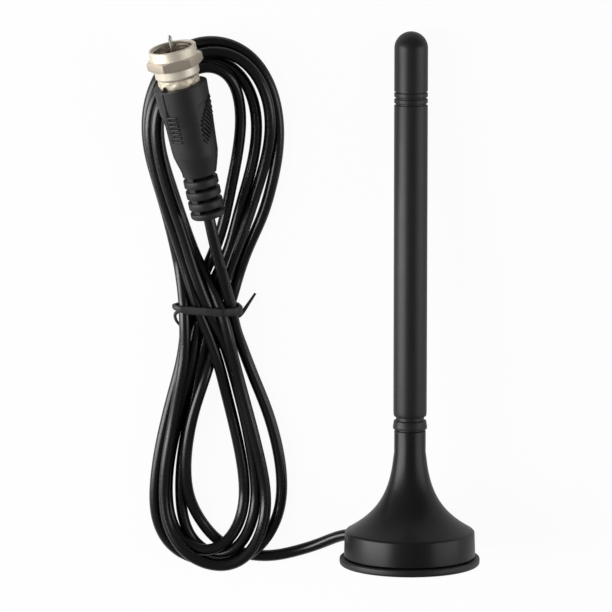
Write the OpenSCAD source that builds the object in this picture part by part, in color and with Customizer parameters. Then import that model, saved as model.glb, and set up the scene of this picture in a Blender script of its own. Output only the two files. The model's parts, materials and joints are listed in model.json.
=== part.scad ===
// Magnetic-base whip antenna with its lead folded into a tied hank and an F plug.
// It lies on a table: +X across the whip, +Y from the base to the tip, +Z up.
// The origin is on the table, under the middle of the antenna without its lead.

/* [Whip] */
// Diameter of the rubber sleeve
whip_d = 7.6; // [7:0.1:9]
// Length from the collar's foot to the domed tip
whip_len = 90.6; // [80:0.5:120]
// Diameter of the collar at the whip's foot
collar_d = 7.8; // [7.4:0.1:9]
// Height of the collar
collar_h = 2; // [1.5:0.1:3]
// Height of the waist between the collar and the sleeve
waist_h = 0.9; // [0.5:0.1:1.5]
// Diameter of that waist
waist_d = 6.4; // [6:0.1:6.8]
// Distance from the tip to the first ring groove
groove_from_tip = 13.6; // [8:0.1:20]
// Distance from one ring groove to the next
groove_pitch = 1.4; // [1:0.1:2]
// Width of a ring groove
groove_w = 0.5; // [0.3:0.05:0.8]
// Depth of a ring groove
groove_depth = 0.3; // [0.1:0.05:0.5]
// Number of ring grooves
grooves = 3; // [1:1:5]
// Diameter of the steel rod inside
rod_d = 1.5; // [1:0.1:2]
// Diameter of the thread stud
stud_d = 3.9; // [3.4:0.1:4.2]
// Length of the thread stud
stud_len = 8; // [5:0.5:9]
// Wire diameter of the loading coil
coil_wire_d = 0.6; // [0.4:0.05:0.7]
// Turns of the loading coil
coil_turns = 8; // [4:1:10]
// Length of the loading coil
coil_len = 14; // [12:0.5:20]

/* [Base] */
// Height from the underside to the top of the neck
base_h = 31; // [28:0.5:36]
// Diameter of the rubber foot ring
foot_d = 32; // [30:0.5:36]
// Height of the foot ring
foot_h = 1.7; // [1.6:0.1:3]
// Diameter of the band above the foot ring
band_d = 30; // [29:0.2:30.4]
// Height of the band's top edge above the underside
band_top = 7.9; // [7.6:0.1:10]
// How far the band narrows towards its top edge, on the radius
band_draft = 0.2; // [0:0.05:0.4]
// Diameter at the top of the neck
neck_d = 7.2; // [7:0.1:7.6]
// Height over which the flare falls to about a third
flare_fall = 6; // [5:0.1:7]
// Wall thickness of the flare and band
wall = 1.8; // [1.4:0.1:2.2]
// Diameter of the magnet
magnet_d = 21; // [18:0.5:23]
// Thickness of the magnet
magnet_h = 2.2; // [1.5:0.1:2.4]
// Angle of the lead's exit below the horizontal, in degrees
exit_angle = 30; // [20:1:40]

/* [Lead] */
// Diameter of the coaxial lead
lead_d = 2.6; // [2.4:0.1:3]
// Height of the hank in its loops
loop_h = 4.4; // [3.8:0.1:4.4]
// Height of the hank in its lower loop, where the strands lie on each other
low_h = 5.4; // [4.4:0.1:6]
// Height of the hank at its lower end, where strands cross
end_h = 7.2; // [5.8:0.1:7.6]
// Height of the ridge of stacked strands beside the plug
ridge_h = 7.8; // [6.8:0.1:8]
// Height of the hank where the tie holds it
waist_top = 6.6; // [6:0.1:7.2]
// Width of the tie along the hank
tie_w = 1.8; // [1.2:0.1:2.5]
// Thickness of the tie
tie_t = 0.8; // [0.5:0.1:1]

/* [Plug] */
// Length of the ribbed strain relief
boot_len = 10.7; // [9:0.1:14]
// Diameter over the strain relief's ribs
boot_d = 7.9; // [7:0.1:8]
// Number of slots cut into the strain relief
boot_slots = 4; // [3:1:5]
// Width of a slot
slot_w = 0.8; // [0.6:0.1:1.2]
// Distance from one slot to the next
slot_pitch = 2.6; // [2.2:0.1:2.8]
// Length of the moulded grip
grip_len = 21.3; // [18:0.1:25]
// Diameter of the grip at the metal end
grip_d = 12.2; // [11.6:0.1:13]
// Diameter of the body's collar behind the nut
shell_d = 9.4; // [9:0.1:10]
// Length of that collar
shell_len = 2; // [1.5:0.1:3]
// Size of the nut across its flats
nut_af = 11; // [11:0.1:11.2]
// Length of the nut's smooth rear skirt
skirt_len = 2.1; // [1.8:0.1:2.6]
// Diameter of the skirt
skirt_d = 10.1; // [9.8:0.1:10.6]
// Length of the hexagon
hex_len = 2.4; // [2:0.1:3]
// Turn of the hexagon about the plug's axis, in degrees
hex_turn = 6; // [0:1:59]
// Length of the nut's smooth front barrel
barrel_len = 2.2; // [2:0.1:3]
// Diameter of the front barrel
barrel_d = 10.8; // [10.4:0.1:10.9]
// Diameter of the 3/8-32 thread bore
thread_d = 9.5; // [9.4:0.05:9.6]
// Diameter of the centre pin
pin_d = 0.9; // [0.8:0.05:1.1]
// How far the pin stands out of the nut
pin_out = 2.7; // [2:0.1:4]

/* [Fits] */
// Radial clearance of a part that turns in another
turn_gap = 0.05; // [0.02:0.01:0.1]
// Radial clearance of parts pressed or moulded together
snug = 0.05; // [0.02:0.01:0.1]
// Gap between flat pieces that are stacked in the base
stack_gap = 0.1; // [0.05:0.05:0.15]
// Gap between flat faces of pieces that move on each other
face_gap = 0.05; // [0.02:0.01:0.1]

/* [Hidden] */
$fn = 64;
eps = 0.01;

// Whip, measured up its own axis from the underside of the base
washer_h = 0.25;
washer_z = base_h + face_gap;
whip_foot = washer_z + washer_h + face_gap;
whip_top = whip_foot + whip_len;
waist_z = whip_foot + collar_h;
sleeve_z = waist_z + waist_h;
whip_r = whip_d / 2;
dome_z = whip_top - whip_r;
collar_chamfer = 0.25;
ferrule_r = 2.4;
ferrule_len = 6.6;
ferrule_top = whip_foot + ferrule_len;
former_r = 1.7;
coil_r = former_r + snug + coil_wire_d / 2;
coil_cavity_r = coil_r + coil_wire_d / 2 + snug;
rod_cap_h = 1;
rod_z = ferrule_top + coil_len;
rod_stop = 6;
rod_top = dome_z - rod_stop;
coil_sides = 6;
coil_steps = 12;

// Base
foot_r = foot_d / 2;
foot_edge = 0.7;
foot_gap = 0.2;
band_r = band_d / 2;
band_edge = 0.4;
rim_r = band_r - band_draft;
neck_r = neck_d / 2;
neck_len = 5;
flare_h = base_h - neck_len - band_top;
flare_steps = 24;
ring_w = 2.4;
spigot_r = foot_r - ring_w;
spigot_z = 0.6;
cavity_r = band_r - wall - 0.5;
roof = 1.6;
cavity_top = band_top - roof;
cup_wall = 1;
cup_r = magnet_d / 2 + stack_gap + cup_wall;
magnet_z = spigot_z + stack_gap;
cup_roof = 0.5;
cup_top = magnet_z + magnet_h + stack_gap + cup_roof;
plate_h = 0.4;
plate_z = cup_top + stack_gap;
plate_r = cavity_r - 0.4;
insert_r = neck_r - 1;
insert_floor = 1;
insert_len = stud_len + insert_floor + 0.6;
insert_z = base_h - insert_len;
tab_r = 1;
tab_h = 1.5;
tab_z = insert_z - tab_h;
stud_r = stud_d / 2;
lead_r = lead_d / 2;
exit_z = 5.6;
lead_end = 9;
core_r = 0.35;
braid_r = 0.4;
grommet_r = 1.9;
grommet_proud = 0.4;
crimp_r = 1.65;

// Lying on the table: the foot ring's upper edge and the dome both touch it
edge_z = foot_h - foot_edge;
edge_r = foot_r - foot_edge;
span = norm([dome_z - edge_z, edge_r]);
tilt = acos((whip_r - foot_edge) / span) - atan2(dome_z - edge_z, edge_r);
axis_z = edge_z * sin(tilt) + edge_r * cos(tilt) + foot_edge;
back_y = foot_edge * cos(tilt) - edge_r * sin(tilt) - foot_edge;
front_y = dome_z * cos(tilt) + whip_r;
base_y = -(back_y + front_y) / 2;

// Plug, measured up its own axis from the strain relief's free end
plug_at = [-45.5, 19.5, 8.9];
plug_turn = 11.5;
plug_rise = 3.4;
bore_r = lead_r + snug;
grip_top = boot_len + grip_len;
shell_top = grip_top + shell_len;
nut_gap = 0.15;
nut_z = shell_top + nut_gap;
nut_len = skirt_len + hex_len + barrel_len;
nut_top = nut_z + nut_len;
nut_floor_h = 2;
nut_floor = nut_z + nut_floor_h;
hex_chamfer = 0.4;
journal_r = 3.6;
lip_r = 4.3;
lip_h = 0.7;
lip_z = nut_floor + nut_gap;
stem_r = 3;
stem_len = 8;
stem_z = grip_top - stem_len;
insulator_r = 2.4;
insulator_z = stem_z + 1;
crimp_len = 4.5;
crimp_z = stem_z - crimp_len - stack_gap;
crimp_out_r = 2.6;
pin_r = pin_d / 2;
barrel_r = 0.8;
pin_z = crimp_z + crimp_len;
pin_top = nut_top + pin_out;
pin_taper = 0.5;
barrel_gap = 0.3;
slot_floor_r = 2.8;
spine_turn = 48.5;
spine_w = 2.4;

// Hank: outer outline and the two loops' inner outlines, on the table
HANK_OUT = [[-45.5, 60], [-50, 59], [-54, 56], [-57.5, 51], [-60, 45], [-60.5, 38.5], [-59.5, 31],
            [-57.5, 23], [-55, 15], [-53.5, 8], [-52, 1], [-52, -7], [-53.5, -16],
            [-56, -26], [-58.5, -36], [-60, -46], [-59.5, -52], [-57, -59], [-53, -62.5],
            [-48, -64.5], [-42.5, -66], [-37.5, -64.5], [-33, -60], [-29.5, -54], [-28, -46],
            [-29, -36], [-32, -25], [-36, -15.5], [-39.6, -6], [-39.6, 0], [-37.5, 6], [-34, 15],
            [-31, 23.5], [-29, 33], [-28.5, 39], [-30, 46], [-33, 53], [-37, 57], [-41, 59.2]];
LOOP_TOP = [[-48, 52], [-44.5, 51], [-41.5, 47.5], [-39.5, 41.5], [-40, 34.5], [-42, 25],
            [-44.5, 14], [-46.2, 7], [-48, 10], [-51, 19], [-54, 27.5], [-56.3, 34],
            [-56.5, 40.5], [-55.5, 47], [-52, 51]];
LOOP_LOW = [[-44.5, -16.5], [-43, -25], [-41, -33.5], [-39, -42], [-39, -49], [-40.5, -54.5],
            [-44, -57.5], [-48, -54], [-50.2, -47], [-50.3, -41], [-49.8, -34], [-48, -27],
            [-46, -20]];
WAIST_X = [-52.9, -38.7];
WAIST_Y = [-14, 6];
LOW_END = [[-61, -67], [-27, -12]];
LOW_TIP = [[-46, -67], [-31, -56]];
LEG = [[-61, 5], [-48, 24]];
RIDGE = [[-61, 22], [-56.4, 44]];
waist_w = WAIST_X[1] - WAIST_X[0];
tie_y = -3;
TIE_TAIL = [[-39.1, -3.4, 3], [-37.2, -2.5, 2.2], [-35.2, 0.5, 1.6]];
TIE_STUB = [[-52.5, -3.4, 3], [-53.2, -5.2, 2.4], [-52.6, -7.2, 2.2]];
tail_r = 0.4;

// Lead: from inside the base down to the table and along it to the hank
exit_y = base_y + exit_z * cos(tilt);
LEAD = [on_base(-lead_end), on_base(-band_r - 0.5), on_base(-band_r - 2.5),
        [-19, -58.6, 4.2], [-24.5, -61, 1.9], [-29.5, -62.2, 1.4], [-34, -62.5, 1.4]];
// Lead: from the hank's waist up into the strain relief
TAIL = [[-42.1, 0, 5.6], [-43.3, 5.5, 6.4], [-44.3, 10.5, 7.4], [-44.9, 14.5, 8.2],
        on_axis(-2.5), on_axis(1), on_axis(crimp_z - 0.5)];

function on_base(r) =
    let(x = r * cos(exit_angle), h = r * sin(exit_angle))
    [x, base_y + exit_z * cos(tilt) + h * sin(tilt), axis_z - exit_z * sin(tilt) + h * cos(tilt)];
function on_axis(z) = plug_at + z * [-sin(plug_turn) * cos(plug_rise),
                                     cos(plug_turn) * cos(plug_rise), sin(plug_rise)];
// The flare's radius at height t, from 0 at the band's top to 1 where the neck starts
function flare(t) = neck_r + 0.15 * (1 - t)
    + (rim_r - 0.55 - neck_r) * exp(-t * flare_h / flare_fall) * pow(1 - t * t, 0.7);
// A smooth curve through points, with a few steps in each span
function curve_at(p, i, t) =
    let(n = len(p), a = p[max(i - 1, 0)], b = p[i], c = p[i + 1], d = p[min(i + 2, n - 1)])
    0.5 * (2 * b + (c - a) * t + (2 * a - 5 * b + 4 * c - d) * t * t
           + (3 * b - a - 3 * c + d) * t * t * t);
function curve(p, steps) =
    concat([for (i = [0:len(p) - 2]) for (s = [0:steps - 1]) curve_at(p, i, s / steps)],
           [p[len(p) - 1]]);
function ring(p, i, r, sides) =
    let(n = len(p), d = p[min(i + 1, n - 1)] - p[max(i - 1, 0)], t = d / norm(d),
        s0 = cross(t, [0, 0, 1]), s = s0 / norm(s0), u = cross(s, t))
    [for (k = [0:sides - 1]) p[i] + r * (cos(360 * k / sides) * s + sin(360 * k / sides) * u)];

// One closed tube along points p
module tube(p, r, sides = 8) {
    n = len(p);
    rings = [for (i = [0:n - 1]) each ring(p, i, r, sides)];
    walls = [for (i = [0:n - 2]) for (k = [0:sides - 1]) let(j = (k + 1) % sides)
        each [[i * sides + k, (i + 1) * sides + j, (i + 1) * sides + k],
              [i * sides + k, i * sides + j, (i + 1) * sides + j]]];
    polyhedron(points = rings,
               faces = concat([[for (k = [sides - 1:-1:0]) k]], walls,
                              [[for (k = [0:sides - 1]) (n - 1) * sides + k]]));
}
// Puts a piece that stands on +Z in the antenna's place on the table
module lay() { translate([0, base_y, axis_z]) rotate([-90 - tilt, 0, 0]) children(); }
// Puts a piece that stands on +Z on the plug's axis
module plug() { translate(plug_at) rotate([plug_rise - 90, 0, plug_turn]) children(); }
// Puts a piece that stands on +Z in the lead's exit hole, with z as its distance from the axis
module exit() { translate([0, 0, exit_z]) rotate([0, -90, -exit_angle]) children(); }
module disc(r, z0, z1) { translate([0, 0, z0]) cylinder(r = r, h = z1 - z0); }
module tube_ring(r, bore, z0, z1) {
    difference() { disc(r, z0, z1); disc(bore, z0 - 1, z1 + 1); }
}

// ---- Base ----
module base_shell() color("#26262a") lay() difference() {
    rotate_extrude() polygon(concat(
        [[0, spigot_z], [spigot_r, spigot_z], [spigot_r, foot_h + foot_gap],
         [band_r, foot_h + foot_gap], [rim_r, band_top - band_edge],
         [rim_r - band_edge, band_top]],
        [for (i = [0:flare_steps]) let(t = i / flare_steps) [flare(t), band_top + t * flare_h]],
        [[neck_r, base_h], [0, base_h]]));
    disc(cavity_r, 0, cavity_top);
    rotate_extrude() polygon(concat(
        [[0, cavity_top - eps], [flare(0.1) - wall, cavity_top - eps]],
        [for (i = [4:flare_steps]) let(t = i / flare_steps)
            [max(flare(t) - wall, insert_r + snug), band_top + t * flare_h]],
        [[insert_r + snug, base_h + 1], [0, base_h + 1]]));
    exit() disc(grommet_r + snug, lead_end - 1, band_r + 2);
}
module foot_ring() color("#1c1c1e") lay() rotate_extrude() union() {
    translate([spigot_r + snug, 0]) square([foot_r - foot_edge - spigot_r - snug, foot_h]);
    translate([foot_r - 2 * foot_edge, foot_edge]) square([2 * foot_edge, foot_h - 2 * foot_edge]);
    for (z = [foot_edge, foot_h - foot_edge]) translate([edge_r, z]) circle(foot_edge);
}
module base_pad() color("#2e2e30") lay() disc(spigot_r - stack_gap, 0, spigot_z);
module magnet() color("#3a3a3e") lay() disc(magnet_d / 2, magnet_z, magnet_z + magnet_h);
module magnet_cup() color("#b8bcc0") lay() difference() {
    disc(cup_r, magnet_z, cup_top);
    disc(magnet_d / 2 + stack_gap, 0, magnet_z + magnet_h + stack_gap);
}
module ground_plate() color("#c8a45a") lay() disc(plate_r, plate_z, plate_z + plate_h);
module threaded_insert() color("#c8a24a") lay() {
    difference() {
        disc(insert_r, insert_z, base_h);
        disc(stud_r + turn_gap, insert_z + insert_floor, base_h + 1);
    }
    disc(tab_r, tab_z, insert_z + eps);
}
module core_wire() color("#b87333") lay() {
    exit() disc(core_r, 0, lead_end);
    disc(core_r, exit_z, tab_z);
    translate([0, 0, exit_z]) sphere(core_r);
}
module braid_tail() color("#c9c9c4") lay() exit() {
    translate([-(exit_z - plate_z - plate_h), 0, lead_end - 1.5 * braid_r])
        rotate([0, 90, 0]) cylinder(r = braid_r, h = exit_z - plate_z - plate_h - core_r - snug);
}
module cable_grommet() color("#161617") lay() exit()
    tube_ring(grommet_r, bore_r, cavity_r - 0.3, band_r + grommet_proud);
module cable_crimp() color("#c0c0c0") lay() exit()
    tube_ring(crimp_r, bore_r, cavity_r - 2.6, cavity_r - 0.4);

// ---- Whip ----
module seal_washer() color("#101011") lay()
    tube_ring(neck_r - 0.3, stud_r + turn_gap, washer_z, washer_z + washer_h);
module whip_ferrule() color("#c8a24a") lay() {
    disc(stud_r, base_h - stud_len, whip_foot + eps);
    disc(ferrule_r, whip_foot, ferrule_top);
}
module whip_collar() color("#2b2b2d") lay() difference() {
    rotate_extrude() polygon([[0, whip_foot], [collar_d / 2 - collar_chamfer, whip_foot],
        [collar_d / 2, whip_foot + collar_chamfer], [collar_d / 2, waist_z - collar_chamfer],
        [collar_d / 2 - collar_chamfer, waist_z], [0, waist_z]]);
    disc(ferrule_r + snug, whip_foot - 1, waist_z + 1);
}
module coil_former() color("#e8e6df") lay() disc(former_r, ferrule_top, rod_z);
module loading_coil() color("#b87333") lay() {
    steps = coil_turns * coil_steps;
    rise = coil_len - coil_wire_d - 2 * stack_gap;
    start = ferrule_top + coil_wire_d / 2 + stack_gap;
    tube([for (i = [0:steps]) let(a = 360 * i / coil_steps)
            [coil_r * cos(a), coil_r * sin(a), start + rise * i / steps]],
         coil_wire_d / 2, coil_sides);
}
module whip_rod() color("#a8abb0") lay() {
    disc(coil_cavity_r - snug, rod_z, rod_z + rod_cap_h - snug);
    disc(rod_d / 2, rod_z, rod_top);
}
module whip_sleeve() color("#333335") lay() difference() {
    union() {
        disc(waist_d / 2, waist_z, sleeve_z + eps);
        disc(whip_r, sleeve_z, dome_z);
        translate([0, 0, dome_z]) sphere(whip_r);
    }
    disc(ferrule_r + snug, waist_z - 1, ferrule_top);
    disc(coil_cavity_r, ferrule_top - eps, rod_z + rod_cap_h);
    disc(rod_d / 2 + snug, rod_z, rod_top + snug);
    for (i = [0:grooves - 1])
        translate([0, 0, whip_top - groove_from_tip - i * groove_pitch - groove_w / 2])
            tube_ring(whip_r + 1, whip_r - groove_depth, 0, groove_w);
}

// ---- Lead ----
module cord_lead() color("#141414") tube(curve(LEAD, 2), lead_r);
module cord_tail() color("#141414") tube(curve(TAIL, 2), lead_r);
module hank_plan() difference() {
    polygon(HANK_OUT);
    polygon(LOOP_TOP);
    polygon(LOOP_LOW);
}
module hank_part(corners, h) linear_extrude(h) intersection() {
    hank_plan();
    translate(corners[0]) square(corners[1] - corners[0]);
}
module cord_hank() color("#141414") difference() {
    union() {
        linear_extrude(loop_h) hank_plan();
        hank_part(LOW_END, low_h);
        hank_part(LOW_TIP, end_h);
        hank_part(LEG, waist_top);
        hank_part(RIDGE, ridge_h);
        translate([WAIST_X[0] + tie_t, WAIST_Y[0], 0])
            cube([waist_w - 2 * tie_t, WAIST_Y[1] - WAIST_Y[0], waist_top]);
    }
    translate([WAIST_X[0] - 1, tie_y - tie_w / 2, -1]) cube([waist_w + 2, tie_w, tie_t + 1]);
}
module cable_tie() color("#3a3a3c") {
    translate([0, tie_y + tie_w / 2, 0]) rotate([90, 0, 0]) linear_extrude(tie_w) difference() {
        translate([WAIST_X[0], 0]) square([waist_w, waist_top + tie_t]);
        translate([WAIST_X[0] + tie_t, tie_t]) square([waist_w - 2 * tie_t, waist_top - tie_t]);
    }
    tube(TIE_TAIL, tail_r);
    tube(TIE_STUB, tail_r);
}

// ---- Plug ----
module plug_grip() color("#2a2a2c") plug() difference() {
    union() {
        disc(boot_d / 2, 0, boot_len + eps);
        rotate_extrude() polygon([[0, boot_len], [boot_d / 2, boot_len],
            [grip_d / 2 - 1.2, boot_len + grip_len * 0.2],
            [grip_d / 2 - 0.7, boot_len + grip_len * 0.45],
            [grip_d / 2 - 0.25, boot_len + grip_len * 0.75], [grip_d / 2, grip_top - 0.4],
            [grip_d / 2 - 0.4, grip_top], [0, grip_top]]);
    }
    for (i = [0:boot_slots - 1]) difference() {
        tube_ring(boot_d, slot_floor_r, boot_len - i * slot_pitch - slot_w, boot_len - i * slot_pitch);
        rotate(spine_turn) translate([-boot_d, -spine_w / 2, 0]) cube([2 * boot_d, spine_w, boot_len + 1]);
    }
    disc(bore_r, -1, grip_top);
    disc(crimp_out_r + snug, crimp_z, grip_top);
    disc(stem_r + snug, stem_z, grip_top + 1);
}
module crimp_sleeve() color("#c4c6c8") plug()
    tube_ring(crimp_out_r, bore_r, crimp_z, crimp_z + crimp_len);
module connector_body() color("#cfc6b4") plug() difference() {
    union() {
        disc(stem_r, stem_z, grip_top + eps);
        disc(shell_d / 2, grip_top, shell_top);
        disc(journal_r, shell_top - eps, lip_z + eps);
        disc(lip_r, lip_z, lip_z + lip_h);
    }
    disc(insulator_r + snug, insulator_z, lip_z + lip_h + 1);
    disc(barrel_r + barrel_gap, stem_z - 1, insulator_z + 1);
}
module contact_insulator() color("#e9e7e0") plug()
    tube_ring(insulator_r, barrel_r + snug, insulator_z, lip_z + lip_h);
module centre_pin() color("#c98a4a") plug() rotate_extrude() polygon([[0, pin_z],
    [barrel_r, pin_z], [barrel_r, lip_z + lip_h], [pin_r, lip_z + lip_h],
    [pin_r, pin_top - pin_taper], [pin_r / 2, pin_top], [0, pin_top]]);
module connector_nut() color("#cfc6b4") plug() difference() {
    union() {
        disc(skirt_d / 2, nut_z, nut_z + skirt_len + eps);
        intersection() {
            translate([0, 0, nut_z + skirt_len]) rotate(hex_turn)
                cylinder(r = nut_af / 2 / cos(30), h = hex_len, $fn = 6);
            rotate_extrude() polygon([[0, nut_z + skirt_len],
                [nut_af / 2, nut_z + skirt_len],
                [nut_af / 2 / cos(30), nut_z + skirt_len + hex_chamfer],
                [nut_af / 2 / cos(30), nut_z + skirt_len + hex_len - hex_chamfer],
                [nut_af / 2, nut_z + skirt_len + hex_len],
                [0, nut_z + skirt_len + hex_len]]);
        }
        disc(barrel_d / 2, nut_top - barrel_len - eps, nut_top);
    }
    disc(journal_r + turn_gap, nut_z - 1, nut_top + 1);
    disc(thread_d / 2, nut_floor, nut_top + 1);
}

base_shell();
foot_ring();
base_pad();
magnet();
magnet_cup();
ground_plate();
threaded_insert();
core_wire();
braid_tail();
cable_grommet();
cable_crimp();
seal_washer();
whip_ferrule();
whip_collar();
coil_former();
loading_coil();
whip_rod();
whip_sleeve();
cord_lead();
cord_hank();
cord_tail();
cable_tie();
plug_grip();
crimp_sleeve();
connector_body();
contact_insulator();
centre_pin();
connector_nut();
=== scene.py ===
import json
import math

import bmesh
import bpy
import numpy as np
from mathutils import Matrix, Vector


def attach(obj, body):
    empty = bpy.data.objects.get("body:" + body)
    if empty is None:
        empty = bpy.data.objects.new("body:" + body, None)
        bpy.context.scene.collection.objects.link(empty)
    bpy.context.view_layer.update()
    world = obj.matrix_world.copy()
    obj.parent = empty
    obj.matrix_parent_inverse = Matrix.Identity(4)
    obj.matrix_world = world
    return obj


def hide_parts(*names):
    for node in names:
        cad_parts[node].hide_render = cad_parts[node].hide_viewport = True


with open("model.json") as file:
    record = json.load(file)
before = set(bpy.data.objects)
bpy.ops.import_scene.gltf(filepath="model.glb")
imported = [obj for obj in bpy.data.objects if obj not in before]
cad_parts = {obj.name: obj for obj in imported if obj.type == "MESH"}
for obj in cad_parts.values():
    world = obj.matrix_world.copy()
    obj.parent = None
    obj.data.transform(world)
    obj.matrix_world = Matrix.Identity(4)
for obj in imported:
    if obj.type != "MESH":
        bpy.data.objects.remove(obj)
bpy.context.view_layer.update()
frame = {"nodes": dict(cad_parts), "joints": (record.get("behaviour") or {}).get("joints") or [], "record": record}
MM = 0.001
JOINTS = {joint["name"]: joint for joint in frame["joints"]}
MOUNTS = {mount["name"]: mount for mount in frame["record"]["mounts"]}
RECORD_SLOTS = {material["slot"] for material in frame["record"]["materials"]}


def placed(name, data):
    """A new object in the scene."""
    o = bpy.data.objects.new(name, data)
    bpy.context.scene.collection.objects.link(o)
    return o


# ---- Camera ----
camera = placed("camera", bpy.data.cameras.new("camera"))
camera.location = (-0.02365, 0.27277, 1.07015)
camera.rotation_euler = (math.radians(-14.46), 0, 0)
camera.data.lens = 284.25
camera.data.sensor_width = 36
bpy.context.scene.camera = camera
bpy.context.scene.view_settings.view_transform = "Standard"


# ---- Places ----
def axes(origin, axis, across):
    """A piece's own millimetre frame: z along axis, x along across."""
    z = Vector(axis).normalized()
    x = (Vector(across) - z * Vector(across).dot(z)).normalized()
    y = z.cross(x)
    m = Matrix((x, y, z)).transposed().to_4x4() @ Matrix.Scale(MM, 4)
    m.translation = Vector(origin)
    return m


NUT_Z = 34.15
PLUG_TURN, HEX_TURN = math.radians(11.5), math.radians(6)
EXIT_Z, EXIT_ANGLE = 5.6, math.radians(30)
whip_axis = Vector(JOINTS["whip_turn"]["axis"])
plug_axis = Vector(JOINTS["nut_spin"]["axis"])
BASE = axes(MOUNTS["magnet_face"]["pos_m"], whip_axis, (1, 0, 0))
PLUG = axes(Vector(JOINTS["nut_spin"]["pos_m"]) - plug_axis * NUT_Z * MM, plug_axis,
            (math.cos(PLUG_TURN), math.sin(PLUG_TURN), 0))
exit_dir = BASE.to_3x3() @ Vector((-math.cos(EXIT_ANGLE), math.sin(EXIT_ANGLE), 0))
EXIT = axes(BASE @ Vector((0, 0, EXIT_Z)), exit_dir, whip_axis)


# ---- Finishes ----
# Where the nut's flats begin and its bore ends, in centimetres from its axis, as a ramp spans 0 to 1, for the
# painted shade on both
CM_IN_M = 100
FLAT_EDGE = ((0.5475, 0), (0.5492, 1))
BORE_EDGE = ((0.478, 1), (0.486, 0))


class Wire:
    """A node's output, so that shader maths reads as an expression."""

    def __init__(self, finish, socket):
        self.finish, self.socket = finish, socket

    def maths(self, operation, first, second=0.0):
        return self.finish.node("ShaderNodeMath", {"operation": operation}, {0: first, 1: second})

    def __add__(self, other):
        return self.maths("ADD", self, other)

    def __radd__(self, other):
        return self.maths("ADD", other, self)

    def __sub__(self, other):
        return self.maths("SUBTRACT", self, other)

    def __mul__(self, other):
        return self.maths("MULTIPLY", self, other)

    def __rmul__(self, other):
        return self.maths("MULTIPLY", other, self)


class Finish:
    """A material whose nodes are made one call at a time."""

    def __init__(self, name):
        self.material = bpy.data.materials.new(name)
        self.material.use_nodes = True
        self.tree = self.material.node_tree
        self.shader = self.tree.nodes["Principled BSDF"]

    def feed(self, socket, value):
        if isinstance(value, Wire):
            self.tree.links.new(value.socket, socket)
        else:
            socket.default_value = value

    def node(self, kind, settings=None, sockets=None, out=0):
        made = self.tree.nodes.new(kind)
        for key, value in (settings or {}).items():
            if key == "stops":
                ramp = made.color_ramp
                while len(ramp.elements) < len(value):
                    ramp.elements.new(1)
                for stop, (place, grey) in zip(ramp.elements, value):
                    stop.position, stop.color = place, (grey, grey, grey, 1)
            else:
                setattr(made, key, value)
        for key, value in (sockets or {}).items():
            self.feed(made.inputs[key], value)
        return Wire(self, made.outputs[out])

    def set(self, **values):
        for key, value in values.items():
            self.feed(self.shader.inputs[key.replace("_", " ")], value)

    def places(self, stretch=None, kind="Object"):
        spot = self.node("ShaderNodeTexCoord", out=kind)
        if stretch is None:
            return spot
        return self.node("ShaderNodeMapping", None, {"Vector": spot, "Scale": stretch})

    def noise(self, scale, detail, places=None):
        return self.node("ShaderNodeTexNoise", None,
                         {"Vector": places or self.places(), "Scale": scale, "Detail": detail})

    def ramp(self, value, *stops):
        return self.node("ShaderNodeValToRGB", {"stops": stops}, {0: value})

    def blend(self, factor, first, second):
        return self.node("ShaderNodeMix", {"data_type": "RGBA"}, {0: factor, 6: first, 7: second}, out=2)

    def bump(self, height, depth_mm):
        self.set(Normal=self.node("ShaderNodeBump", None, {
            "Height": height, "Distance": depth_mm * MM, "Strength": 1.0}))


def rgb(red, green=None, blue=None):
    """A colour, or a grey where only one value is given."""
    return (red, red if green is None else green, red if blue is None else blue, 1)


def moulded(name, colour, worn, rough, spread=0.08, grain=9000, depth=0.01, specular=0.5):
    """Moulded plastic or rubber: a fine grain, patches of more and less sheen, and a little handling wear."""
    f = Finish(name)
    patches = f.noise(180, 4)
    fine = f.noise(grain, 2)
    specks = f.ramp(f.noise(2600, 5), (0.60, 0), (0.74, 1))
    f.set(Base_Color=f.blend(patches * 0.55 + specks * 0.30, rgb(*colour), rgb(*worn)),
          Roughness=rough - spread / 2 + patches * spread + specks * 0.05,
          Specular_IOR_Level=specular)
    f.bump(fine * 0.8 + patches * 0.4, depth)
    return f.material


def arm_from_plug(f):
    """The way from the plug's zero point to the point that is shaded."""
    return f.node("ShaderNodeVectorMath", {"operation": "SUBTRACT"},
                  {0: f.places(), 1: tuple(PLUG.translation)})


def in_bore(f):
    """1 inside the nut's bore, 0 elsewhere: where the bore's painted shade goes."""
    across = f.node("ShaderNodeVectorMath", {"operation": "CROSS_PRODUCT"},
                    {0: arm_from_plug(f), 1: tuple(PLUG.to_3x3().col[2].normalized())})
    off_axis = f.node("ShaderNodeVectorMath", {"operation": "LENGTH"}, {0: across}, out="Value")
    return f.ramp(off_axis * CM_IN_M, *BORE_EDGE)


def on_flats(f):
    """1 on the nut's six flats, 0 elsewhere: where the flats' painted shade goes."""
    arm = arm_from_plug(f)
    reach = 0
    for k in range(3):
        turn = HEX_TURN + math.radians(30 + 60 * k)
        facing = (PLUG.to_3x3() @ Vector((math.cos(turn), math.sin(turn), 0))).normalized()
        out = f.node("ShaderNodeVectorMath", {"operation": "DOT_PRODUCT"},
                     {0: arm, 1: tuple(facing)}, out="Value")
        reach = out.maths("MAXIMUM", out.maths("ABSOLUTE", out), reach)
    return f.ramp(reach * CM_IN_M, *FLAT_EDGE)


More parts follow.
